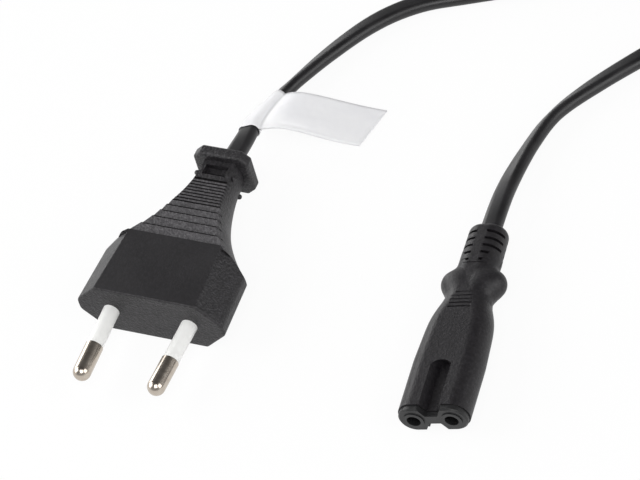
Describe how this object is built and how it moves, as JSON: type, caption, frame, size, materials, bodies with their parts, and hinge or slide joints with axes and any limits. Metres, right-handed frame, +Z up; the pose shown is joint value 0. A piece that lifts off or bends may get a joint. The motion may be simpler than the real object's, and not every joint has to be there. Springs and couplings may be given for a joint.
{
  "type": "figure eight power connector",
  "caption": "Two-pole figure-eight power connector on a flat two-core cord with a flat mains plug, for feeding small double-insulated appliances.",
  "frame": {"origin": "under the middle of the connector's bounding box, on the surface that the lead lies on", "axes": "+Y along the connector's axis from its socket face to its cord; +Z up; +X to the right seen from behind the socket face, so that the sockets face -Y"},
  "size_m": [0.1468, 0.1876, 0.0172],
  "materials": {
    "black_pvc_overmould": "fine eroded grain",
    "black_nylon_insert": "smooth moulded",
    "grey_bridge_plastic": "smooth moulded",
    "spring_brass": "bright",
    "nickel_plated_pin": "polished",
    "white_pin_sleeve": "satin",
    "copper_strands": "bright",
    "brown_core_insulation": "gloss",
    "blue_core_insulation": "gloss",
    "white_label_film": "satin film",
    "black_tie": "satin",
    "black_cord_sheath": "satin"
  },
  "bodies": {
    "root": {"coil_tie": "black_tie", "connector_body": "black_pvc_overmould", "connector_core_left": "brown_core_insulation", "connector_core_right": "blue_core_insulation", "connector_insert": "black_nylon_insert", "connector_sheath_end": "black_cord_sheath", "connector_strands_left": "copper_strands", "connector_strands_right": "copper_strands", "contact_left": "spring_brass", "contact_right": "spring_brass", "cord_coil": "black_cord_sheath", "cord_connector_side": "black_cord_sheath", "cord_label": "white_label_film", "cord_plug_side": "black_cord_sheath", "pin_left": "nickel_plated_pin", "pin_right": "nickel_plated_pin", "pin_sleeve_left": "white_pin_sleeve", "pin_sleeve_right": "white_pin_sleeve", "plug_body": "black_pvc_overmould", "plug_bridge": "grey_bridge_plastic", "plug_core_left": "brown_core_insulation", "plug_core_right": "blue_core_insulation", "plug_sheath_end": "black_cord_sheath", "plug_strands_left": "copper_strands", "plug_strands_right": "copper_strands"}
  },
  "joints": []
}
